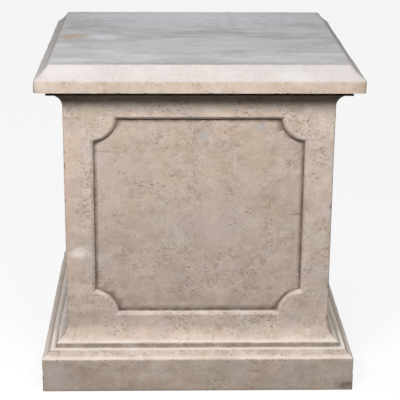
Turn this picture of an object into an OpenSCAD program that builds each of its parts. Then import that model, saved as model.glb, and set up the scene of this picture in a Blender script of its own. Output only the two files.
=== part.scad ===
// Square pedestal for a column, an urn or a statue.
// The body is one casting: plinth, base moulding, panelled die and neck.
// The cap is a separate slab that lies on the neck with an open, raked-back joint.
// Every reach is measured outwards from the face of the die.

/* [Die] */
// Width and depth of the die, face to face
die_width = 513; // [350:0.5:900]
// Height of the straight part of the die, from base cove to neck
die_height = 438.6; // [250:0.1:1200]

/* [Panel] */
// Width of the plain upright margin on each side of the sunk panel
stile_width = 50.5; // [30:0.5:70]
// Height of the plain margin above and below the sunk panel
rail_width = 19; // [8:0.5:60]
// Radius of the quarter rounds that bite into the panel's corners
corner_radius = 45; // [20:0.5:60]
// Width of the moulded border between margin and field
border_width = 7.5; // [4:0.5:16]
// Depth of the border's first step
border_depth = 4; // [2:0.5:6]
// Depth of the panel's field behind the face of the die
field_depth = 8; // [7:0.5:20]

/* [Plinth] */
// Height of the plinth's upright face
plinth_height = 67; // [40:0.5:150]
// Reach of the plinth's face
plinth_reach = 48.5; // [42:0.5:80]
// Reach of the narrow ledge above the plinth's hollow
ledge_reach = 33.5; // [29:0.5:39]
// Rise of the hollow between the plinth's face and the ledge
plinth_hollow_rise = 15; // [10:0.5:20]
// Radius of the plinth's hollow
plinth_hollow_radius = 24; // [20:0.5:60]

/* [Base moulding] */
// Reach of the upright fillet under the base cove
fillet_reach = 22.5; // [15:0.5:27]
// Height of the fillet
fillet_height = 7.5; // [3:0.5:20]
// Radius of the base cove, which runs out into the die
cove_radius = 36; // [29:0.5:60]

/* [Neck] */
// Radius of the quarter hollow that widens the die into the neck's lip
neck_radius = 29; // [24:0.5:50]
// Height of the lip's upright edge
lip_height = 2; // [1:0.5:10]
// Height of the open joint between lip and cap
joint_height = 7; // [3:0.5:12]
// How far the joint runs back behind the lip
joint_depth = 20; // [8:0.5:40]

/* [Cap] */
// Overhang of the cap's face beyond the neck's lip
cap_overhang = 19.5; // [10:0.5:40]
// Height of the cap's upright face
cap_face_height = 23.5; // [12:0.5:60]
// Rise of the shallow hollow above the cap's face
cap_hollow_rise = 24.5; // [15:0.5:40]
// Setback of the flat top behind the cap's face
top_setback = 25; // [15:0.5:40]
// Radius of the cap's shallow hollow
cap_hollow_radius = 60; // [45:0.5:120]

/* [Hidden] */
$fn = 96;

stone_colour = "#cbb9a6";
top_colour = "#c2bcb8";
overcut = 5;

die_half = die_width / 2;
fillet_half = die_half + fillet_reach;
ledge_half = die_half + ledge_reach;
plinth_half = die_half + plinth_reach;
lip_half = die_half + neck_radius;
seat_half = lip_half - joint_depth;
cap_half = lip_half + cap_overhang;
top_half = cap_half - top_setback;

// A cove's centre stands one radius out from the die, level with the end of its curve.
cove_rise = sqrt(pow(cove_radius, 2) - pow(cove_radius - fillet_reach, 2));

ledge_z = plinth_height + plinth_hollow_rise;
cove_z = ledge_z + fillet_height;
die_z = cove_z + cove_rise;
neck_z = die_z + die_height;
lip_z = neck_z + neck_radius;
seat_z = lip_z + lip_height;
cap_z = seat_z + joint_height;
cap_nose_z = cap_z + cap_face_height;
top_z = cap_nose_z + cap_hollow_rise;

panel_width = die_width - 2 * stile_width;
panel_height = die_height - 2 * rail_width;
panel_middle_z = die_z + die_height / 2;

// Centre of the circle of radius r through points a and b, on the left of the way from a to b.
function arc_centre(a, b, r) =
    let (chord = b - a, along = chord / norm(chord), side = [-along[1], along[0]])
    (a + b) / 2 + side * sqrt(pow(r, 2) - pow(norm(chord) / 2, 2));

// Both halves of a profile that is drawn for the right-hand half only.
module both_sides() {
    children();
    mirror([1, 0]) children();
}

// A square moulded block: the same profile run along both directions, mitred where the runs meet.
module square_block(length) {
    intersection() {
        rotate([90, 0, 0]) linear_extrude(length, center = true) children();
        rotate([90, 0, 90]) linear_extrude(length, center = true) children();
    }
}

module pedestal_profile() {
    both_sides() difference() {
        polygon([
            [0, 0], [plinth_half, 0], [plinth_half, plinth_height],
            [ledge_half, ledge_z], [fillet_half, ledge_z], [fillet_half, cove_z],
            [die_half, die_z], [die_half, neck_z],
            [lip_half, lip_z], [lip_half, seat_z],
            [seat_half, seat_z], [seat_half, cap_z], [0, cap_z]
        ]);
        translate(arc_centre([ledge_half, ledge_z], [plinth_half, plinth_height], plinth_hollow_radius))
            circle(plinth_hollow_radius);
        translate([die_half + cove_radius, die_z]) circle(cove_radius);
        translate([die_half + neck_radius, neck_z]) circle(neck_radius);
    }
}

module cap_profile() {
    both_sides() difference() {
        polygon([
            [0, cap_z], [cap_half, cap_z], [cap_half, cap_nose_z], [top_half, top_z], [0, top_z]
        ]);
        translate(arc_centre([top_half, top_z], [cap_half, cap_nose_z], cap_hollow_radius))
            circle(cap_hollow_radius);
    }
}

// Outline of the panel, drawn in by inset on every side, with its corner rounds grown to match.
module panel_outline(inset) {
    difference() {
        square([panel_width - 2 * inset, panel_height - 2 * inset], center = true);
        for (side = [-1, 1], end = [-1, 1])
            translate([side * panel_width / 2, end * panel_height / 2]) circle(corner_radius + inset);
    }
}

module panel_recess(inset, depth) {
    translate([0, depth - die_half, panel_middle_z]) rotate([90, 0, 0])
        linear_extrude(depth + overcut) panel_outline(inset);
}

module pedestal() {
    color(stone_colour) difference() {
        square_block(2 * plinth_half) pedestal_profile();
        for (face = [0 : 3]) rotate([0, 0, 90 * face]) {
            panel_recess(0, border_depth);
            panel_recess(border_width, field_depth);
        }
    }
}

module cap() {
    color(top_colour) square_block(2 * cap_half) cap_profile();
}

pedestal();
cap();
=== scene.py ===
"""A square cast-limestone pedestal with a separate cap slab, built around its packed frame."""

import math
import random

import bmesh
import bpy
from bpy.props import FloatProperty, FloatVectorProperty, IntProperty, PointerProperty
from mathutils import Matrix, Vector, kdtree, noise


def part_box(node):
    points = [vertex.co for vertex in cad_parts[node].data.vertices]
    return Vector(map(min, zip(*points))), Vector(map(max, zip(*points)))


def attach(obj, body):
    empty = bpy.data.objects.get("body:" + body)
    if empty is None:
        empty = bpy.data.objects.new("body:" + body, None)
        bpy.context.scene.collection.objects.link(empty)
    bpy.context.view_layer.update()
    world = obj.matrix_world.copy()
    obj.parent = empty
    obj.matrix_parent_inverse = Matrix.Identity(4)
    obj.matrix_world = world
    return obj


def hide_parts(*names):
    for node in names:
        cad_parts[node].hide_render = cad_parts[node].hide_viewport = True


bl_info = {
    "name": "Square Stone Pedestal",
    "version": (1, 0, 0),
    "blender": (4, 5, 0),
    "location": "3D View > Sidebar > Pedestal",
    "description": "Builds a weathered cast-limestone pedestal with a cap slab, and its studio",
    "category": "Add Mesh",
}

MM = 0.001
QUARTER = math.radians(90)
# Sockets of a colour Mix node: its factor, the colour underneath, the colour on top and the result.
FACTOR, UNDER, OVER, RESULT = 0, 6, 7, 2

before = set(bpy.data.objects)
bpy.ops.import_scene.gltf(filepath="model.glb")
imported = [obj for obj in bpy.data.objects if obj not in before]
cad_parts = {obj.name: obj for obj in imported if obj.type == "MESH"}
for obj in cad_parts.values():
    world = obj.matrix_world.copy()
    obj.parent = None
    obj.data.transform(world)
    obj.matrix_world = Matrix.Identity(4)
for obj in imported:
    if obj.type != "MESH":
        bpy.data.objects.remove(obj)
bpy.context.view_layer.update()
BODY_LOW, BODY_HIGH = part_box("pedestal")
CAP_LOW, CAP_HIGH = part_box("cap")

# Where pits gather on the front: from and to across, from and to in height, in millimetres, and how many
# clusters. The seed places each cluster within its region.
PIT_REGIONS = (
    (-150, 150, 350, 430, 7),
    (-190, 170, 180, 340, 8),
    (-240, 240, 535, 570, 8),
    (-240, -205, 120, 440, 5),
    (205, 240, 150, 540, 5),
    (-100, 120, 105, 130, 2),
)
# Places of the larger chips along the cap's lower front arris, in millimetres.
CAP_CHIPS = (-150, -100, 20, 160)

# Clouds and specks in the cast stone. Each row gives the colour laid on, the spacing of the pattern
# along X, Y and Z in millimetres, its detail, where it starts and where it is full, its strength, and
# whether it gathers in clusters. Grain finer than 3 mm wouldn't show, so the finest is drawn at 3 mm.
STONE_LAYERS = (
    ("olive", (120, 120, 85), 3, 0.44, 0.64, 0.75, False),
    ("pink", (80, 80, 60), 3, 0.46, 0.70, 0.40, False),
    ("lilac", (55, 55, 42), 4, 0.48, 0.68, 0.60, False),
    ("chalk", (36, 36, 28), 5, 0.48, 0.70, 0.50, False),
    ("umber", (45, 45, 32), 4, 0.48, 0.70, 0.40, False),
    ("umber", (13, 13, 120), 3, 0.52, 0.76, 0.22, False),
    ("umber", (14, 14, 11), 5, 0.50, 0.68, 0.75, True),
    ("chalk", (9, 9, 7), 4, 0.55, 0.72, 0.30, False),
    ("pinhole", (5, 5, 4), 3, 0.56, 0.66, 0.70, True),
    ("pinhole", (3, 3, 2.4), 2, 0.60, 0.70, 0.70, True),
)
# Brush strokes, clouds and specks on the flat top, in the same terms.
PATINA_LAYERS = (
    ("dark", (150, 60, 60), 4, 0.46, 0.68, 0.80, False),
    ("pale", (150, 30, 30), 4, 0.48, 0.74, 0.50, False),
    ("pale", (60, 40, 40), 5, 0.54, 0.74, 0.50, False),
    ("dark", (70, 14, 14), 4, 0.52, 0.74, 0.35, False),
    ("dark", (5, 4, 4), 4, 0.56, 0.74, 0.35, False),
    ("pale", (4, 3, 3), 3, 0.58, 0.74, 0.35, False),
)
# Stains, as rows of colour, rough middle and reach along X, Y and Z in millimetres, and strength.
BODY_STAINS = (
    ("lilac", (10, -250, 320), (70, 30, 80), 0.35),
    ("umber", (-150, -250, 310), (50, 30, 50), 0.22),
    ("umber", (160, -250, 380), (50, 30, 70), 0.2),
    ("umber", (0, -250, 170), (230, 20, 14), 0.35),
    ("lilac", (-120, -250, 430), (40, 30, 36), 0.3),
    ("olive", (100, -250, 450), (45, 30, 30), 0.4),
    ("umber", (-220, -250, 140), (50, 30, 20), 0.45),
    ("blue", (10, -250, 500), (16, 20, 12), 0.6),
    ("blue", (120, -250, 520), (12, 20, 8), 0.7),
    ("pink", (-250, -260, 370), (9, 20, 150), 0.7),
    ("moss", (200, -250, 340), (7, 12, 90), 0.5),
    ("umber", (0, -310, 30), (500, 30, 60), 0.35),
    ("grime_and_shade", (290, -300, 10), (26, 30, 9), 0.6),
    ("lilac", (-280, -300, 30), (26, 30, 34), 0.7),
    ("umber", (-230, -300, 40), (40, 30, 24), 0.4),
    ("lime", (-230, -260, 270), (22, 20, 10), 0.4),
)
CAP_STAINS = (
    ("lime", (-250, -300, 640), (50, 30, 12), 0.4),
    ("lime", (180, -300, 630), (40, 30, 10), 0.3),
    ("moss", (300, -300, 610), (14, 20, 14), 0.35),
)
TOP_STAINS = (
    # The first row, a broad pale patch over the back of the top, is a painted sheen, not a stain.
    ("pale", (0, 250, 650), (330, 150, 20), 0.8),
    ("brown", (-250, -10, 650), (34, 30, 20), 0.9),
    ("pale", (-190, -20, 650), (30, 34, 20), 0.6),
    ("dark", (0, -270, 650), (270, 20, 20), 0.9),
    ("dark", (210, -120, 650), (60, 60, 20), 0.5),
)


# Properties


def length(name, description, millimetres):
    """A length property whose default is given in millimetres."""
    return FloatProperty(name=name, description=description, default=millimetres * MM,
                         min=0.0, subtype="DISTANCE", unit="LENGTH")


def shade(name, description, hex_colour):
    """A colour property whose default is an sRGB hex value."""
    return FloatVectorProperty(name=name, description=description, default=linear(hex_colour),
                               size=4, min=0.0, max=1.0, subtype="COLOR")


def linear(hex_colour):
    """An sRGB hex colour as linear red, green, blue and alpha."""
    parts = [int(hex_colour[i:i + 2], 16) / 255 for i in (1, 3, 5)]
    return tuple(c / 12.92 if c <= 0.04045 else ((c + 0.055) / 1.055) ** 2.4 for c in parts) + (1.0,)


class BodySizes(bpy.types.PropertyGroup):
    """Sizes of the pedestal's body. Reaches are measured outwards from the face of the die."""

    plinth_height: length("Plinth height", "Height of the plinth's upright face", 67)
    plinth_reach: length("Plinth reach", "Reach of the plinth's face", 48.5)
    ledge_reach: length("Ledge reach", "Reach of the narrow ledge above the plinth's hollow", 33.5)
    hollow_rise: length("Hollow rise", "Rise of the hollow above the plinth's face", 15)
    hollow_radius: length("Hollow radius", "Radius of the plinth's hollow", 24)
    fillet_reach: length("Fillet reach", "Reach of the upright fillet under the base cove", 22.5)
    fillet_height: length("Fillet height", "Height of the fillet", 7.5)
    cove_radius: length("Cove radius", "Radius of the base cove", 36)
    neck_radius: length("Neck radius", "Radius of the quarter hollow under the lip", 29)
    lip_height: length("Lip height", "Height of the lip's upright edge", 2)
    joint_height: length("Joint height", "Height of the open joint under the cap", 7)
    joint_depth: length("Joint depth", "How far the joint runs back behind the lip", 20)
    corner: length("Corner rounding", "Radius of the upright corners", 3)


class PanelSizes(bpy.types.PropertyGroup):
    """Sizes of the sunk panel on each face of the die."""

    stile: length("Stile", "Width of the plain margin at each side", 50.5)
    rail: length("Rail", "Height of the plain margin above and below", 19)
    corner: length("Corner round", "Radius of the quarter rounds in the panel's corners", 45)
    border: length("Border", "Width of the moulded border", 7.5)
    depth: length("Depth", "Depth of the field behind the face of the die", 8)


class CapSizes(bpy.types.PropertyGroup):
    """Sizes of the cap slab."""

    face_height: length("Face height", "Height of the upright face", 23.5)
    setback: length("Setback", "Setback of the flat top behind the face", 25)
    hollow_radius: length("Hollow radius", "Radius of the shallow hollow above the face", 60)
    nose: length("Nose", "Rounding where the hollow meets the upright face", 3.5)
    corner: length("Corner rounding", "Radius of the upright corners", 6)


class WearLook(bpy.types.PropertyGroup):
    """How worn and broken the stone is."""

    pitch: length("Pitch", "Spacing of the mesh over the plain faces", 6)
    arris_wear: length("Arris wear", "Deepest wear along the arrises", 1.0)
    sway: length("Sway", "How far the faces wander from true", 0.35)
    seed: IntProperty(name="Seed", description="Seed of the chips and pits", default=11, min=0)


class StoneLook(bpy.types.PropertyGroup):
    """Colours of the stone and of what lies on it."""

    warm: shade("Warm stone", "Beige of the clean cast stone", "#c3b3a6")
    olive: shade("Olive stone", "Grey-olive clouds in the stone", "#b5ab9b")
    pink: shade("Pink stone", "Pinkish clouds in the stone", "#c1a99c")
    lilac: shade("Lilac stone", "Cool grey clouds in the stone", "#b9aeae")
    chalk: shade("Chalk", "Pale chalky patches and dust", "#d6cec6")
    umber: shade("Umber", "Brown streaks and mottling", "#9c8a7b")
    # This colour is also laid on the faces of pits and chips as painted shade.
    pinhole: shade("Pinhole", "Inside of pinholes and pits", "#75665a")
    # This colour also gives the painted shade in the quirks, the open joint, under the lip and on the
    # fillet.
    grime_and_shade: shade("Grime", "Dirt in corners and quirks", "#5c4d42")
    lime: shade("Lime", "White lime scuff", "#f4f1ef")
    blue: shade("Blue bloom", "Bluish bloom in small blotches", "#a3aab2")
    moss: shade("Dry moss", "Olive-brown growth in damp corners", "#8b7f5e")


class PatinaLook(bpy.types.PropertyGroup):
    """Colours of the weathered flat top."""

    grey: shade("Patina", "Cool grey of the flat top", "#a7a7aa")
    pale: shade("Pale patina", "Paler brush strokes", "#c3c4ca")
    dark: shade("Dark patina", "Darker clouds", "#8f8d8c")
    brown: shade("Brown stain", "Brown stain near the left edge", "#a3907c")
    margin: length("Margin", "Bare stone between the patina and the arris", 1.5)


class StageLook(bpy.types.PropertyGroup):
    """Camera, floor and lights."""

    side: FloatProperty(name="Side", description="Camera's place along X", default=-0.0669, unit="LENGTH")
    back: FloatProperty(name="Back", description="Camera's place along Y", default=-2.6188, unit="LENGTH")
    up: FloatProperty(name="Up", description="Camera's height", default=1.1526, unit="LENGTH")
    turn: FloatProperty(name="Turn", description="Turn towards +X", default=math.radians(1.676),
                        subtype="ANGLE")
    tilt: FloatProperty(name="Tilt", description="Tilt down", default=math.radians(18.124), subtype="ANGLE")
    roll: FloatProperty(name="Roll", description="Roll", default=math.radians(0.437), subtype="ANGLE")
    lens: FloatProperty(name="Lens", description="Focal length", default=116.9, min=10, unit="CAMERA")
    floor: shade("Floor", "Pale floor", "#f4f4f4")


GROUPS = {
    "pedestal_body": BodySizes,
    "pedestal_panel": PanelSizes,
    "pedestal_cap": CapSizes,
    "pedestal_wear": WearLook,
    "pedestal_stone": StoneLook,
    "pedestal_patina": PatinaLook,
    "pedestal_stage": StageLook,
}


# Outlines


def arc(centre, radius, start, end, steps):
    """Points on an arc, from start to end in degrees, both ends included."""
    angles = [math.radians(start + (end - start) * i / steps) for i in range(steps + 1)]
    return [(centre[0] + radius * math.cos(a), centre[1] + radius * math.sin(a)) for a in angles]


def hollow(low, high, radius, steps):
    """Points between low and high on a hollow of that radius, without its ends."""
    low, high = Vector(low), Vector(high)
    chord = high - low
    outwards = Vector((chord.y, -chord.x)).normalized()
    centre = (low + high) / 2 + outwards * math.sqrt(radius ** 2 - chord.length_squared / 4)
    start = math.degrees(math.atan2(*(low - centre).yx)) % 360
    end = math.degrees(math.atan2(*(high - centre).yx)) % 360
    return arc(centre, radius, start, end, steps)[1:-1]


class Levels:
    """Half widths and heights of the body, worked out from its box and its sizes."""

    def __init__(self, sizes, panel):
        self.plinth = BODY_HIGH.x
        self.die = self.plinth - sizes.plinth_reach
        self.fillet = self.die + sizes.fillet_reach
        self.ledge = self.die + sizes.ledge_reach
        self.lip = self.die + sizes.neck_radius
        self.plinth_z = sizes.plinth_height
        self.ledge_z = self.plinth_z + sizes.hollow_rise
        self.cove_z = self.ledge_z + sizes.fillet_height
        self.cove_rise = math.sqrt(sizes.cove_radius ** 2 - (sizes.cove_radius - sizes.fillet_reach) ** 2)
        self.die_z = self.cove_z + self.cove_rise
        self.seat_z = BODY_HIGH.z - sizes.joint_height
        self.lip_z = self.seat_z - sizes.lip_height
        self.neck_z = self.lip_z - sizes.neck_radius
        self.middle_z = (self.die_z + self.neck_z) / 2
        self.wide = 2 * (self.die - panel.stile)
        self.tall = self.neck_z - self.die_z - 2 * panel.rail

    def inset(self, across, height, corner):
        """How far a point on a face lies inside the panel's outline. Outside it is negative."""
        side = self.wide / 2 - abs(across)
        end = self.tall / 2 - abs(height - self.middle_z)
        return min(side, end, math.hypot(side, end) - corner)


def body_profile(sizes, at):
    """The body's outline, bottom to top, as rows of half width, height and rounding."""
    start = 180 + math.degrees(math.asin(at.cove_rise / sizes.cove_radius))
    profile = [(at.plinth, 0, 2 * MM), (at.plinth, at.plinth_z, 1.8 * MM)]
    profile += [(*p, 0) for p in hollow(profile[-1][:2], (at.ledge, at.ledge_z), sizes.hollow_radius, 6)]
    profile += [(at.ledge, at.ledge_z, 1.2 * MM), (at.fillet, at.ledge_z, 0)]
    profile.append((at.fillet, at.cove_z, 1.2 * MM))
    cove_middle = (at.die + sizes.cove_radius, at.die_z)
    profile += [(*p, 0) for p in arc(cove_middle, sizes.cove_radius, start, 180, 10)[1:]]
    profile += [(*p, 0) for p in arc((at.lip, at.neck_z), sizes.neck_radius, 180, 90, 12)]
    profile += [(at.lip, at.seat_z, 0.8 * MM), (at.lip - sizes.joint_depth, at.seat_z, 0),
                (at.lip - sizes.joint_depth, BODY_HIGH.z, 0)]
    return profile


# Mesh making


def moulded_block(profile, corner, pitch):
    """A closed square block whose faces follow the profile: rows of half width, height and rounding."""
    bm = bmesh.new()
    arris = bm.verts.layers.float.new("arris")
    half, height, _ = profile[0]
    turned = Matrix.Translation((0, 0, height)) @ Matrix.Rotation(QUARTER / 2, 4, "Z")
    square = bmesh.ops.create_circle(bm, segments=4, radius=half * math.sqrt(2), cap_ends=True,
                                     matrix=turned)
    bmesh.ops.bevel(bm, geom=square["verts"], offset=corner, segments=3, profile=0.5,
                    affect="VERTICES", material=-1)
    bmesh.ops.delete(bm, geom=list(bm.faces), context="FACES_ONLY")
    rings = [list(bm.edges)]
    for (old_half, old_z, _), (new_half, new_z, _) in zip(profile, profile[1:]):
        rings.append(next_ring(bm, rings[-1], new_half - old_half, new_z - old_z))
    for vert in bm.verts:
        vert[arris] = 0.0
    for ring, (_, _, rounding) in zip(rings, profile):
        if rounding:
            made = bmesh.ops.bevel(bm, geom=ring, offset=rounding, segments=3, profile=0.5,
                                   affect="EDGES", material=-1, clamp_overlap=True)
            for vert in made["verts"]:
                vert[arris] = 1.0
    for axis in range(3):
        subdivide_long(bm, axis, pitch)
    bmesh.ops.holes_fill(bm, edges=[edge for edge in bm.edges if edge.is_boundary], sides=0)
    bmesh.ops.recalc_face_normals(bm, faces=bm.faces)
    return bm


def next_ring(bm, ring, out, up):
    """Extrudes a ring of edges, moved out from the middle on every side and up."""
    grown = bmesh.ops.extrude_edge_only(bm, edges=ring)["geom"]
    fresh = {part for part in grown if isinstance(part, bmesh.types.BMVert)}
    for vert in fresh:
        vert.co += Vector((out * math.copysign(1, vert.co.x), out * math.copysign(1, vert.co.y), up))
    return [part for part in grown if isinstance(part, bmesh.types.BMEdge)
            and all(vert in fresh for vert in part.verts)]


def subdivide_long(bm, axis, pitch):
    """Cuts every edge that runs along an axis and is longer than two pitches into lengths of a pitch."""
    by_cuts = {}
    for edge in bm.edges:
        run = edge.verts[1].co - edge.verts[0].co
        if abs(run[axis]) > 2 * pitch and abs(run[axis]) > 0.999 * run.length:
            by_cuts.setdefault(round(run.length / pitch) - 1, []).append(edge)
    for cuts, edges in sorted(by_cuts.items()):
        bmesh.ops.subdivide_edges(bm, edges=edges, cuts=cuts)


def wear_arrises(bm, amount):
    """Rubs the arrises back by an uneven amount."""
    arris = bm.verts.layers.float["arris"]
    bm.normal_update()
    for vert in bm.verts:
        if vert[arris] > 0.5:
            broad = noise.noise(vert.co * 14)
            fine = noise.noise(vert.co * 60 + Vector((5, 5, 5)))
            vert.co -= vert.normal * amount * max(0.0, 0.3 + 0.8 * broad + 0.5 * fine)


def finished(bm, name):
    """The bmesh as a new object in the scene."""
    mesh = bpy.data.meshes.new(name)
    bm.to_mesh(mesh)
    bm.free()
    piece = bpy.data.objects.new(name, mesh)
    bpy.context.scene.collection.objects.link(piece)
    return piece


def carve(piece, cutter):
    """Cuts the cutter out of the piece and drops the cutter."""
    cut = piece.modifiers.new("Carve", "BOOLEAN")
    cut.operation = "DIFFERENCE"
    cut.object = cutter
    cut.solver = "MANIFOLD"
    graph = bpy.context.evaluated_depsgraph_get()
    whole = bpy.data.meshes.new_from_object(piece.evaluated_get(graph), preserve_all_data_layers=True,
                                            depsgraph=graph)
    piece.modifiers.clear()
    whole.materials.clear()
    old = piece.data
    piece.data = whole
    bpy.data.meshes.remove(old)
    whole.name = piece.name
    bpy.data.objects.remove(cutter)


def panel_cutter(panel, at, pitch):
    """The shape cut out of the die for its four sunk panels, with the moulded border around each field."""
    bm = bmesh.new()
    # Inset from the panel's outline and depth behind the face, in millimetres, from the mouth to the
    # quirk: a worn arris, a slope, a narrow flat, a steeper slope and the quirk where it meets the field.
    border = ((-3, -3), (-0.9, -0.02), (-0.2, 0.2), (0.5, 0.8),
              (3.1, 3.1), (3.9, 3.5), (6.2, 7.5), (6.8, 8.2))
    section = [(inset * MM, depth * MM) for inset, depth in border]
    section.append((panel.border, panel.depth))
    loops = [panel_loop(bm, panel.corner, at, inset, depth, pitch) for inset, depth in section]
    for outer, inner in zip(loops, loops[1:]):
        bmesh.ops.bridge_loops(bm, edges=outer + inner)
    bmesh.ops.contextual_create(bm, geom=loops[0])
    bmesh.ops.contextual_create(bm, geom=loops[-1])
    subdivide_long(bm, 2, pitch)
    bmesh.ops.recalc_face_normals(bm, faces=bm.faces)
    copied = [*bm.verts, *bm.edges, *bm.faces]
    for _ in range(3):
        copied = bmesh.ops.duplicate(bm, geom=copied)["geom"]
        bmesh.ops.rotate(bm, verts=[part for part in copied if isinstance(part, bmesh.types.BMVert)],
                         cent=(0, 0, 0), matrix=Matrix.Rotation(QUARTER, 3, "Z"))
    return finished(bm, "panel_cutter")


def panel_loop(bm, corner, at, inset, depth, pitch):
    """One closed outline of the front panel, drawn in by inset and set back by depth."""
    radius = corner + inset
    slip = math.asin(inset / radius)
    reach = math.sqrt(radius ** 2 - inset ** 2)
    others = set(bm.edges)
    ends = []
    for side, end in ((1, -1), (1, 1), (-1, 1), (-1, -1)):
        centre = Vector((side * at.wide / 2, depth - at.die, at.middle_z + end * at.tall / 2))
        level = side != end
        along, up = (reach, inset) if level else (inset, reach)
        start = Vector((-along * side, 0, -up * end))
        first = bm.verts.new(centre + start)
        made = bmesh.ops.spin(bm, geom=[first], cent=centre, axis=(0, 1, 0), dvec=(0, 0, 0),
                              angle=QUARTER - 2 * slip, steps=14, use_merge=False,
                              use_normal_flip=False, use_duplicate=False)
        ends.append((first, made["geom_last"][0]))
    rounds = [edge for edge in bm.edges if edge not in others]
    straights = [bm.edges.new((ends[i][1], ends[(i + 1) % 4][0])) for i in range(4)]
    upright = [edge for edge in straights if abs(edge.verts[0].co.z - edge.verts[1].co.z) > MM]
    level = [edge for edge in straights if edge not in upright]
    cuts = round(level[0].calc_length() / pitch) - 1
    split = bmesh.ops.subdivide_edges(bm, edges=level, cuts=cuts)["geom_split"]
    pieces = [part for part in split if isinstance(part, bmesh.types.BMEdge)]
    return list(dict.fromkeys([*rounds, *upright, *pieces]))


# Chips, pits and sway


def lumps(name, spots):
    """Uneven little stones for cutting chips and pits, from rows of place, radii and turn about Z."""
    bm = bmesh.new()
    taken = []
    for place, radii, turn in spots:
        reach = max(radii) * 1.3
        if any((place - other).length < reach + other_reach for other, other_reach in taken):
            continue
        taken.append((place, reach))
        shape = Matrix.Translation(place) @ Matrix.Rotation(turn, 4, "Z") @ Matrix.Diagonal((*radii, 1))
        made = bmesh.ops.create_icosphere(bm, subdivisions=2, radius=1, matrix=shape)
        for vert in made["verts"]:
            vert.co = place + (vert.co - place) * (1 + 0.3 * noise.noise(vert.co / max(radii)))
    return finished(bm, name)


def arris_chips(rng, rows):
    """Spots for chips along level arrises on all four sides: half width, height, up or down, number."""
    spots = []
    for half, height, rise, number in rows:
        for quarter in range(4):
            turned = Matrix.Rotation(QUARTER * quarter, 4, "Z")
            for _ in range(number):
                size = rng.uniform(1.0, 3.4) * MM
                off = size * rng.uniform(0.45, 0.8)
                place = Vector((rng.uniform(-half, half), -half - off, height + rise * off))
                radii = (size * rng.uniform(1, 2.4), size, size)
                spots.append((turned @ place, radii, QUARTER * quarter))
    return spots


def corner_chips(rng, rows):
    """Spots for chips on the upright corners: half width, lowest and highest point, number."""
    spots = []
    for half, low, high, number in rows:
        for right, back in ((1, 1), (1, -1), (-1, 1), (-1, -1)):
            for _ in range(number):
                size = rng.uniform(2.0, 4.5) * MM
                out = half + size * rng.uniform(0.1, 0.35)
                place = Vector((right * out, back * out, rng.uniform(low, high)))
                spots.append((place, (size, size, size * rng.uniform(1, 2.2)), 0))
    return spots


def pit_spots(rng, at, panel, profile):
    """Spots for pits: clusters on the front, and loose ones scattered over all four sides."""
    spots = []
    for left, right, low, high, clusters in PIT_REGIONS:
        for _ in range(clusters):
            middle, level = rng.uniform(left, right), rng.uniform(low, high)
            for _ in range(rng.randint(2, 4)):
                across = (middle + rng.gauss(0, 9)) * MM
                height = (level + rng.gauss(0, 4.5)) * MM
                spots.append(pit_spot(rng, at, panel, profile, 0, across, height, rng.uniform(0.7, 1.9)))
    for quarter in range(4):
        for _ in range(12):
            height = rng.uniform(at.plinth_z * 0.1, at.lip_z)
            across = rng.uniform(-at.die, at.die)
            size = rng.uniform(0.6, 1.4)
            spots.append(pit_spot(rng, at, panel, profile, quarter, across, height, size))
    return spots


def pit_spot(rng, at, panel, profile, quarter, across, height, size):
    """One pit of that size in millimetres, sunk in the surface of one side."""
    half = at.die
    for (low_half, low_z, _), (high_half, high_z, _) in zip(profile, profile[1:]):
        if low_z <= height < high_z:
            half = low_half + (high_half - low_half) * (height - low_z) / (high_z - low_z)
    if at.inset(across, height, panel.corner) > panel.border:
        half = at.die - panel.depth
    size *= MM
    place = Vector((across, -half - size * rng.uniform(0.2, 0.5), height))
    radii = (size * rng.uniform(1.0, 1.9), size, size * rng.uniform(0.7, 1.2))
    return Matrix.Rotation(QUARTER * quarter, 4, "Z") @ place, radii, QUARTER * quarter


def cut_grid(mesh, pitch, reach, low, high):
    """Cuts the large flat faces along a grid, so that marks on their points don't run across them."""
    bm = bmesh.new()
    bm.from_mesh(mesh)
    large = [face for face in bm.faces if face.calc_area() > 2 * pitch ** 2]
    edges = dict.fromkeys(edge for face in large for edge in face.edges)
    verts = dict.fromkeys(vert for face in large for vert in face.verts)
    parts = [*verts, *edges, *large]
    for axis, start, end in ((0, -reach, reach), (1, -reach, reach), (2, low, high)):
        facing = Vector([1.0 if i == axis else 0.0 for i in range(3)])
        for step in range(math.ceil(start / pitch), math.floor(end / pitch) + 1):
            parts = bmesh.ops.bisect_plane(bm, geom=parts, dist=0.01 * MM, plane_co=facing * step * pitch,
                                           plane_no=facing)["geom"]
    bm.to_mesh(mesh)
    bm.free()


def mark_pits(mesh, spots):
    """Marks the faces that line a chip or a pit: those that lie wholly near its middle."""
    tree = kdtree.KDTree(len(spots))
    for index, (place, _, _) in enumerate(spots):
        tree.insert(place, index)
    tree.balance()
    values = []
    for face in mesh.polygons:
        place, index, _ = tree.find(face.center)
        away = max((mesh.vertices[corner].co - place).length for corner in face.vertices)
        values.append(1.0 if away < 1.15 * max(spots[index][1]) else 0.0)
    mesh.attributes.new("pit", "FLOAT", "FACE").data.foreach_set("value", values)


def sway_faces(mesh, amount, low, high):
    """Lets the faces wander from true, but keeps what lies at or past low and high in its plane."""
    for vert in mesh.vertices:
        shift = noise.noise_vector(vert.co * 24) + noise.noise_vector(vert.co * 70) * 0.35
        if vert.co.z < low or vert.co.z > high:
            shift.z = 0
        vert.co += shift * amount


def ease(value, start, full):
    """0 before start, 1 past full, smooth between."""
    t = min(max((value - start) / (full - start), 0), 1)
    return t * t * (3 - 2 * t)


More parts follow.
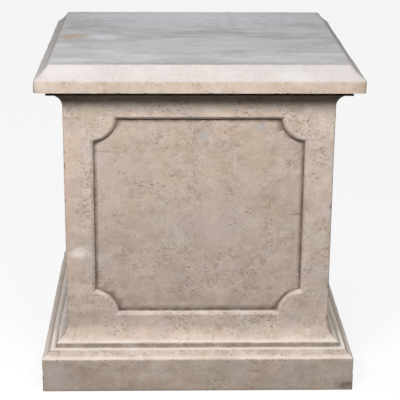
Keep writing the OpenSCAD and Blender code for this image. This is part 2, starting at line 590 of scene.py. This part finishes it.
def mark_body(mesh, at, panel):
    """Marks on the body's points: how sunk they are, and how much they are darkened: painted shade in the
    panel's quirk, in the open joint, under the lip and on the fillet, and soil along the foot.
    """
    sunk, shade_and_dirt = [], []
    for vert in mesh.vertices:
        x, y, z = vert.co
        across, out = (x, abs(y)) if abs(y) > abs(x) else (y, abs(x))
        inset = at.inset(across, z, panel.corner)
        deep = ease((at.die - out) / panel.depth, 0.1, 0.95) if inset > -MM else 0.0
        # Painted shade: the quirk beside the field, the open joint, the top of the neck under the lip and
        # the fillet under the cove are darkened where shade falls. The foot is darkened as soil.
        quirk = deep * (1 - ease(abs(inset - 6.9 * MM), 0.3 * MM, 2.2 * MM))
        joint = ease(z, at.seat_z - 3 * MM, at.seat_z + MM)
        under_lip = 0.45 * ease(z, at.lip_z - 14 * MM, at.lip_z)
        on_fillet = 0.0
        if at.ledge_z - MM < z < at.cove_z + 0.5 * MM and out < at.fillet + 2 * MM:
            on_fillet = 0.6
        foot = 0.5 * (1 - ease(z, 0, 7 * MM))
        sunk.append(deep)
        shade_and_dirt.append(max(quirk, joint, under_lip, on_fillet, foot))
    mesh.attributes.new("sunk", "FLOAT", "POINT").data.foreach_set("value", sunk)
    mesh.attributes.new("shade_and_dirt", "FLOAT", "POINT").data.foreach_set("value", shade_and_dirt)


def finish_piece(piece, material, node):
    """Gives a piece its shading, its material and its place in the frame."""
    mesh = piece.data
    mesh.shade_smooth()
    mesh.set_sharp_from_angle(angle=math.radians(38))
    mesh.materials.append(material)
    even = piece.modifiers.new("Even shading", "WEIGHTED_NORMAL")
    even.keep_sharp = True
    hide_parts(node)
    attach(piece, "root")


# Materials


def add(tree, kind, inputs=None, **settings):
    """Adds a node with its settings, and gives its inputs values or links."""
    made = tree.nodes.new(kind)
    for name, value in settings.items():
        setattr(made, name, value)
    for key, value in (inputs or {}).items():
        if isinstance(value, bpy.types.NodeSocket):
            tree.links.new(value, made.inputs[key])
        else:
            made.inputs[key].default_value = value
    return made


def lay_clouds(tree, place, under, look, rows, gathered):
    """Lays the rows' colours over a colour, each where its own noise passes a threshold."""
    for number, (colour, spacing, detail, start, full, strength, clustered) in enumerate(rows):
        scale = [1 / (size * MM) for size in spacing]
        moved = (7.3 * number, 3.1, 1.7 * number)
        spread = add(tree, "ShaderNodeMapping", {"Vector": place, "Location": moved, "Scale": scale})
        pattern = add(tree, "ShaderNodeTexNoise", {"Vector": spread.outputs[0], "Scale": 1.0,
                                                   "Detail": detail, "Roughness": 0.6})
        cover = add(tree, "ShaderNodeMapRange", {"Value": pattern.outputs[0], "From Min": start,
                                                 "From Max": full, "To Max": strength})
        if clustered:
            cover = add(tree, "ShaderNodeMath", {0: cover.outputs[0], 1: gathered}, operation="MULTIPLY")
        under = lay_marks(tree, under, ((cover.outputs[0], getattr(look, colour)),))
    return under


def lay_stains(tree, place, under, look, rows, ragged):
    """Lays ragged stains over a colour, each round its own middle."""
    for colour, middle, reach, strength in rows:
        scale = [1 / (size * MM) for size in reach]
        away = [-m / r for m, r in zip(middle, reach)]
        near = add(tree, "ShaderNodeMapping", {"Vector": place, "Location": away, "Scale": scale})
        far = add(tree, "ShaderNodeVectorMath", {0: near.outputs[0]}, operation="LENGTH")
        torn = add(tree, "ShaderNodeMath", {0: ragged, 1: 2.4, 2: far.outputs["Value"]},
                   operation="MULTIPLY_ADD")
        cover = add(tree, "ShaderNodeMapRange", {"Value": torn.outputs[0], "From Min": 2.45,
                                                 "From Max": 1.45, "To Max": strength})
        under = lay_marks(tree, under, ((cover.outputs[0], getattr(look, colour)),))
    return under


def stone_base(tree, look):
    """Object coordinates, a ragged noise, and the stone's own clouds and specks."""
    place = add(tree, "ShaderNodeTexCoord").outputs["Object"]
    ragged = add(tree, "ShaderNodeTexNoise", {"Vector": place, "Scale": 1 / (18 * MM), "Detail": 5.0,
                                              "Roughness": 0.65}).outputs[0]
    groups = add(tree, "ShaderNodeTexNoise", {"Vector": place, "Scale": 1 / (40 * MM), "Detail": 3.0})
    gathered = add(tree, "ShaderNodeMapRange", {"Value": groups.outputs[0], "From Min": 0.42,
                                                "From Max": 0.62, "To Min": 0.25}).outputs[0]
    clean = add(tree, "ShaderNodeRGB")
    clean.outputs[0].default_value = look.warm
    colour = lay_clouds(tree, place, clean.outputs[0], look, STONE_LAYERS, gathered)
    return place, ragged, gathered, colour


def lay_marks(tree, under, rows):
    """Lays colours over a colour by factors, from rows of factor and colour."""
    for factor, colour in rows:
        under = add(tree, "ShaderNodeMix", {FACTOR: factor, UNDER: under, OVER: colour},
                    data_type="RGBA").outputs[RESULT]
    return under


def stone_relief(tree, place, gathered):
    """A bump from mottling, grain and pinholes: spacing and depth in millimetres."""
    height = 0.0
    for spacing, depth in ((22, 0.5), (7, 0.25), (2.5, 0.18)):
        grain = add(tree, "ShaderNodeTexNoise", {"Vector": place, "Scale": 1 / (spacing * MM),
                                                 "Detail": 3.0})
        height = add(tree, "ShaderNodeMath", {0: grain.outputs[0], 1: depth, 2: height},
                     operation="MULTIPLY_ADD").outputs[0]
    holes = add(tree, "ShaderNodeTexVoronoi", {"Vector": place, "Scale": 1 / (4 * MM)})
    sunk = add(tree, "ShaderNodeMapRange", {"Value": holes.outputs["Distance"], "From Min": 0.1,
                                            "From Max": 0.35, "To Min": -0.5, "To Max": 0.0})
    relief = add(tree, "ShaderNodeMath", {0: sunk.outputs[0], 1: gathered, 2: height},
                 operation="MULTIPLY_ADD").outputs[0]
    return add(tree, "ShaderNodeBump", {"Height": relief, "Strength": 0.7, "Distance": MM}).outputs[0]


def new_stone(name):
    """A new material with the plain values of dry, unpolished cast stone."""
    material = bpy.data.materials.new(name)
    material.use_nodes = True
    shader = material.node_tree.nodes["Principled BSDF"]
    shader.inputs["Roughness"].default_value = 0.9
    shader.inputs["Specular IOR Level"].default_value = 0.25
    return material, material.node_tree, shader


def up_facing(tree, start, full, strength):
    """A factor for surfaces that face up, by how far they face up."""
    normal = add(tree, "ShaderNodeNewGeometry").outputs["Normal"]
    parts = add(tree, "ShaderNodeSeparateXYZ", {0: normal})
    return add(tree, "ShaderNodeMapRange", {"Value": parts.outputs["Z"], "From Min": start,
                                            "From Max": full, "To Max": strength}).outputs[0]


def cast_limestone(look):
    """Cast limestone: crushed stone and lime tamped in a mould. Matt, beige, clouded and pinholed."""
    material, tree, shader = new_stone("cast limestone")
    place, ragged, gathered, colour = stone_base(tree, look)
    colour = lay_stains(tree, place, colour, look, BODY_STAINS, ragged)
    sunk = add(tree, "ShaderNodeAttribute", attribute_name="sunk").outputs["Fac"]
    shade_and_dirt = add(tree, "ShaderNodeAttribute", attribute_name="shade_and_dirt").outputs["Fac"]
    pit = add(tree, "ShaderNodeAttribute", attribute_name="pit").outputs["Fac"]
    # The sunk panel is darkened towards umber: partly the stone's own darker tone, partly painted shade of
    # the recess.
    sunk_tone_and_shade = add(tree, "ShaderNodeMath", {0: sunk, 1: 0.28}, operation="MULTIPLY").outputs[0]
    uneven = add(tree, "ShaderNodeMapRange", {"Value": ragged, "From Min": 0.3, "From Max": 0.6,
                                              "To Min": 0.5}).outputs[0]
    # Painted shade in the quirk, the joint, under the lip and on the fillet, with soil at the foot, laid on
    # in the grime colour.
    shade_and_soil = add(tree, "ShaderNodeMath", {0: shade_and_dirt, 1: uneven}, operation="MULTIPLY").outputs[0]
    # Faces lining the pits and chips are darkened towards the pinhole colour as painted shade in the
    # hollows.
    pit_shade = add(tree, "ShaderNodeMath", {0: pit, 1: 0.6}, operation="MULTIPLY").outputs[0]
    # Faces that look up are paled towards chalk.
    faces_up_pale = up_facing(tree, 0.72, 0.95, 1.0)
    colour = lay_marks(tree, colour, ((sunk_tone_and_shade, look.umber), (faces_up_pale, look.chalk), (shade_and_soil, look.grime_and_shade),
                                      (pit_shade, look.pinhole)))
    tree.links.new(colour, shader.inputs["Base Color"])
    tree.links.new(stone_relief(tree, place, gathered), shader.inputs["Normal"])
    return material


def cap_limestone(look, patina):
    """The same cast limestone, with a brushed grey patina on the flat top that stops at its arris."""
    material, tree, shader = new_stone("cast limestone with grey patina")
    place, ragged, gathered, colour = stone_base(tree, look)
    colour = lay_stains(tree, place, colour, look, CAP_STAINS, ragged)
    pit = add(tree, "ShaderNodeAttribute", attribute_name="pit").outputs["Fac"]
    # Faces lining the pits and chips are darkened towards the pinhole colour as painted shade in the
    # hollows.
    pit_shade = add(tree, "ShaderNodeMath", {0: pit, 1: 0.6}, operation="MULTIPLY").outputs[0]
    # Faces that look up are greyed towards the patina.
    faces_up_grey = up_facing(tree, 0.15, 0.55, 0.65)
    colour = lay_marks(tree, colour, ((0.2, look.umber), (faces_up_grey, patina.grey), (pit_shade, look.pinhole)))
    grey = add(tree, "ShaderNodeRGB")
    grey.outputs[0].default_value = patina.grey
    brushed = lay_clouds(tree, place, grey.outputs[0], patina, PATINA_LAYERS, gathered)
    brushed = lay_stains(tree, place, brushed, patina, TOP_STAINS, ragged)
    colour = lay_marks(tree, colour, ((flat_top(tree, place, ragged, patina.margin), brushed),))
    tree.links.new(colour, shader.inputs["Base Color"])
    tree.links.new(stone_relief(tree, place, gathered), shader.inputs["Normal"])
    return material


def flat_top(tree, place, ragged, margin):
    """A factor for the flat top, with a ragged edge a margin inside its arris."""
    sizes = bpy.context.scene.pedestal_cap
    half = CAP_HIGH.x - sizes.setback - margin
    positive = add(tree, "ShaderNodeVectorMath", {0: place}, operation="ABSOLUTE")
    parts = add(tree, "ShaderNodeSeparateXYZ", {0: positive.outputs[0]})
    out = add(tree, "ShaderNodeMath", {0: parts.outputs["X"], 1: parts.outputs["Y"]}, operation="MAXIMUM")
    torn = add(tree, "ShaderNodeMath", {0: ragged, 1: 5 * MM, 2: out.outputs[0]}, operation="MULTIPLY_ADD")
    inside = add(tree, "ShaderNodeMapRange", {"Value": torn.outputs[0], "From Min": half + 3.5 * MM,
                                              "From Max": half + 1.5 * MM})
    high = add(tree, "ShaderNodeMapRange", {"Value": parts.outputs["Z"], "From Min": CAP_HIGH.z - 2.5 * MM,
                                            "From Max": CAP_HIGH.z - 1.5 * MM})
    return add(tree, "ShaderNodeMath", {0: inside.outputs[0], 1: high.outputs[0]},
               operation="MULTIPLY").outputs[0]


# Operators


class PEDESTAL_OT_body(bpy.types.Operator):
    """Builds the pedestal's body: plinth, base moulding, panelled die and neck"""

    bl_idname = "pedestal.body"
    bl_label = "Pedestal body"

    def execute(self, context):
        scene = context.scene
        sizes, panel, wear = scene.pedestal_body, scene.pedestal_panel, scene.pedestal_wear
        rng = random.Random(wear.seed)
        at = Levels(sizes, panel)
        profile = body_profile(sizes, at)
        bm = moulded_block(profile, sizes.corner, wear.pitch)
        wear_arrises(bm, wear.arris_wear)
        piece = finished(bm, "pedestal_body")
        carve(piece, panel_cutter(panel, at, wear.pitch))
        foot = Vector((-at.plinth - 2 * MM, -at.plinth - 2 * MM, -2 * MM))
        spots = [(foot, (7 * MM, 7 * MM, 7 * MM), 0)]
        spots += arris_chips(rng, ((at.plinth, at.plinth_z, 1, 12), (at.ledge, at.ledge_z, 1, 8),
                                   (at.plinth, 0, -1, 8), (at.lip, at.seat_z, 1, 10)))
        spots += corner_chips(rng, ((at.plinth, 0, at.plinth_z, 3), (at.die, at.die_z, at.neck_z, 7)))
        spots += pit_spots(rng, at, panel, profile)
        carve(piece, lumps("body_chips", spots))
        cut_grid(piece.data, 16 * MM, at.plinth, at.die_z, at.neck_z)
        mark_pits(piece.data, spots)
        sway_faces(piece.data, wear.sway, 2 * MM, at.seat_z - MM)
        mark_body(piece.data, at, panel)
        finish_piece(piece, cast_limestone(scene.pedestal_stone), "pedestal")
        return {"FINISHED"}


class PEDESTAL_OT_cap(bpy.types.Operator):
    """Builds the cap slab"""

    bl_idname = "pedestal.cap"
    bl_label = "Cap slab"

    def execute(self, context):
        scene = context.scene
        sizes, wear = scene.pedestal_cap, scene.pedestal_wear
        rng = random.Random(wear.seed + 1)
        half, top = CAP_HIGH.x, CAP_HIGH.z
        nose_z = CAP_LOW.z + sizes.face_height
        flat = half - sizes.setback
        profile = [(half, CAP_LOW.z, 2.5 * MM), (half, nose_z, sizes.nose)]
        profile += [(*p, 0) for p in hollow((half, nose_z), (flat, top), sizes.hollow_radius, 5)]
        profile += [(flat, top, 2 * MM), (flat - 5 * MM, top, 0)]
        bm = moulded_block(profile, sizes.corner, wear.pitch)
        wear_arrises(bm, wear.arris_wear)
        piece = finished(bm, "cap_slab")
        out = -half - 2 * MM
        arris_radii = (5 * MM, 4 * MM, 3.5 * MM)
        corner_radii = (8 * MM, 8 * MM, 7 * MM)
        spots = [(Vector((across * MM, out, CAP_LOW.z - 1.5 * MM)), arris_radii, 0) for across in CAP_CHIPS]
        spots.append((Vector((out, out, CAP_LOW.z - 2 * MM)), corner_radii, 0))
        spots += arris_chips(rng, ((half, CAP_LOW.z, -1, 22), (half, nose_z, 1, 6), (flat, top, 1, 9)))
        spots += corner_chips(rng, ((half, CAP_LOW.z, nose_z, 3),))
        carve(piece, lumps("cap_chips", spots))
        cut_grid(piece.data, 16 * MM, half, CAP_LOW.z, nose_z)
        mark_pits(piece.data, spots)
        sway_faces(piece.data, wear.sway, CAP_LOW.z + 2 * MM, top - MM)
        finish_piece(piece, cap_limestone(scene.pedestal_stone, scene.pedestal_patina), "cap")
        return {"FINISHED"}


class PEDESTAL_OT_stage(bpy.types.Operator):
    """Builds the floor, the lights and the camera"""

    bl_idname = "pedestal.stage"
    bl_label = "Stage"

    def execute(self, context):
        scene = context.scene
        make_camera(scene, scene.pedestal_stage)
        make_floor(scene.pedestal_stage)
        make_lights()
        scene.view_settings.view_transform = "Standard"
        return {"FINISHED"}


def make_camera(scene, look):
    """The camera, placed and turned by the stage's values."""
    data = bpy.data.cameras.new("camera")
    data.lens = look.lens
    camera = bpy.data.objects.new("camera", data)
    scene.collection.objects.link(camera)
    turned = (Matrix.Rotation(-look.turn, 4, "Z") @ Matrix.Rotation(QUARTER - look.tilt, 4, "X")
              @ Matrix.Rotation(look.roll, 4, "Z"))
    camera.matrix_world = Matrix.Translation((look.side, look.back, look.up)) @ turned
    scene.camera = camera


def make_floor(look):
    """A wide pale floor that glows, so that it stays pale away from the lights."""
    bm = bmesh.new()
    bmesh.ops.create_grid(bm, x_segments=1, y_segments=1, size=300)
    floor = finished(bm, "floor")
    material = bpy.data.materials.new("matt pale floor")
    material.use_nodes = True
    shader = material.node_tree.nodes["Principled BSDF"]
    shader.inputs["Base Color"].default_value = [part * 0.16 for part in look.floor]
    shader.inputs["Roughness"].default_value = 1.0
    shader.inputs["Specular IOR Level"].default_value = 0.0
    shader.inputs["Emission Color"].default_value = look.floor
    shader.inputs["Emission Strength"].default_value = 0.92
    floor.data.materials.append(material)
    floor.visible_diffuse = False
    floor.visible_glossy = False


def make_light(name, kind, place, aim, energy, size, colour):
    """A lamp at a place, turned towards aim. Its size is a width in metres, or a sun's angle in degrees."""
    data = bpy.data.lights.new(name, kind)
    data.energy = energy
    data.color = colour
    if kind == "AREA":
        data.shape = "DISK"
        data.size = size
    else:
        data.angle = math.radians(size)
    lamp = bpy.data.objects.new(name, data)
    bpy.context.scene.collection.objects.link(lamp)
    facing = (Vector(aim) - Vector(place)).to_track_quat("-Z", "Y")
    lamp.matrix_world = Matrix.Translation(place) @ facing.to_matrix().to_4x4()


def make_lights():
    """Two soft boxes high in front, soft light from above, the sides and behind, and a dim sky."""
    face = (0, -0.26, 0.35)
    middle = (0, 0, 0.3)
    make_light("left_box", "AREA", (-0.60, -1.50, 1.50), face, 27, 0.6, (1, 0.985, 0.97))
    make_light("right_box", "AREA", (0.45, -1.50, 1.60), face, 20, 0.6, (1, 0.985, 0.96))
    make_light("top_sun", "SUN", (0, 0, 3), middle, 0.75, 60, (0.98, 0.99, 1))
    make_light("left_sun", "SUN", (-3, 0, 1.4), middle, 0.6, 60, (0.93, 0.94, 1))
    make_light("right_sun", "SUN", (3, 0, 1.4), middle, 0.35, 60, (0.98, 1, 0.97))
    make_light("back_sun", "SUN", (0, 3, 2.2), middle, 0.5, 60, (1, 0.99, 0.97))
    world = bpy.data.worlds.new("studio")
    world.use_nodes = True
    background = world.node_tree.nodes["Background"]
    background.inputs["Color"].default_value = (1, 1, 1, 1)
    background.inputs["Strength"].default_value = 0.06
    bpy.context.scene.world = world


class PEDESTAL_PT_panel(bpy.types.Panel):
    """Lists the pedestal's sizes, looks and building steps"""

    bl_label = "Square Stone Pedestal"
    bl_idname = "PEDESTAL_PT_panel"
    bl_space_type = "VIEW_3D"
    bl_region_type = "UI"
    bl_category = "Pedestal"

    def draw(self, context):
        for attribute, group in GROUPS.items():
            box = self.layout.box()
            box.label(text=group.__doc__.split(".")[0])
            for name in group.__annotations__:
                box.prop(getattr(context.scene, attribute), name)
        for operator in OPERATORS:
            self.layout.operator(operator.bl_idname)


OPERATORS = (PEDESTAL_OT_body, PEDESTAL_OT_cap, PEDESTAL_OT_stage)
CLASSES = (*GROUPS.values(), *OPERATORS, PEDESTAL_PT_panel)


def register():
    for cls in CLASSES:
        bpy.utils.register_class(cls)
    for attribute, group in GROUPS.items():
        setattr(bpy.types.Scene, attribute, PointerProperty(type=group))


def unregister():
    for attribute in GROUPS:
        delattr(bpy.types.Scene, attribute)
    for cls in reversed(CLASSES):
        bpy.utils.unregister_class(cls)


def main():
    register()
    bpy.ops.pedestal.body()
    bpy.ops.pedestal.cap()
    bpy.ops.pedestal.stage()


if __name__ == "__main__":
    main()
